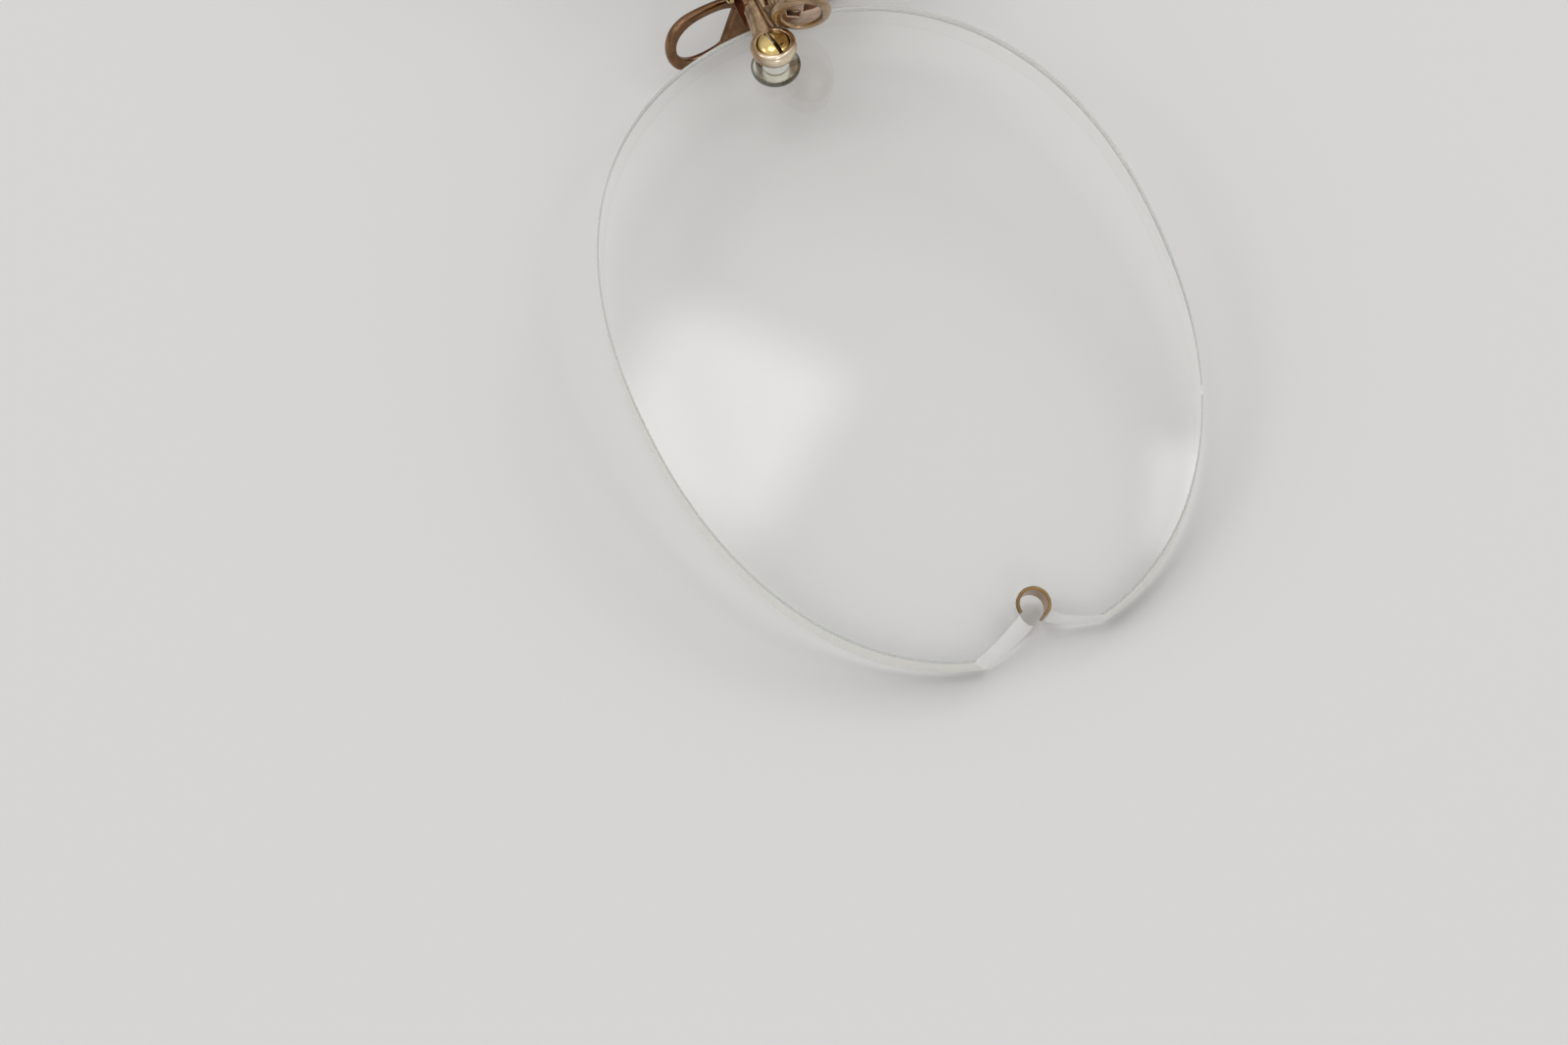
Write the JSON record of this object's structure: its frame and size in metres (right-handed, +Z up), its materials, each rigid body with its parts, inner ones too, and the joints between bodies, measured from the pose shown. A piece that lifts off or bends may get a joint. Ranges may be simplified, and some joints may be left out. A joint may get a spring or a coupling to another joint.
{
  "type": "pince-nez",
  "caption": "Rimless oval pince-nez with an arched bridge, sprung levers that carry nose guards and pierced finger pieces, and a cord hole broken open at one lens edge.",
  "frame": {"origin": "on the table under the bridge's mirror plane, at the bottom centre of the bounding box", "axes": "+X along the length towards the wearer's left, +Y towards the brow, +Z up from the table, out of the front of the lenses"},
  "size_m": [0.0966, 0.031, 0.0128],
  "materials": {
    "glass": "polished faces, ground edge",
    "rose_gold": "rose gold, patinated",
    "pale_gold": "rose gold, worn smooth",
    "brass": "yellow brass, polished",
    "steel": "spring steel, dull"
  },
  "bodies": {
    "frame": {"bridge": "rose_gold", "cord_bush": "brass", "lens_left": "glass", "lens_right": "glass", "lens_strap_left": "rose_gold", "lens_strap_right": "rose_gold", "lens_screw_left": "brass", "lens_screw_right": "brass", "pivot_bracket_left": "rose_gold", "pivot_bracket_right": "rose_gold", "pivot_screw_left": "brass", "pivot_screw_right": "brass", "coil_spring_left": "steel", "coil_spring_right": "steel"},
    "left_lever": {"lever_left": "rose_gold", "finger_piece_left": "rose_gold", "nose_guard_left": "pale_gold", "guard_rivet_left": "pale_gold"},
    "right_lever": {"lever_right": "rose_gold", "finger_piece_right": "rose_gold", "nose_guard_right": "pale_gold", "guard_rivet_right": "pale_gold"}
  },
  "joints": [
    {"name": "left_lever_pivot", "type": "hinge", "parent": "frame", "child": "left_lever", "pos_m": [0.0051, 0, 0.00623], "axis": [0, -1, 0], "range_deg": [0, 20], "stiffness_Nm_per_rad": 0.01, "springref_deg": -11.46},
    {"name": "right_lever_pivot", "type": "hinge", "parent": "frame", "child": "right_lever", "pos_m": [-0.0051, 0, 0.00623], "axis": [0, 1, 0], "range_deg": [0, 20], "stiffness_Nm_per_rad": 0.01, "springref_deg": -11.46}
  ]
}
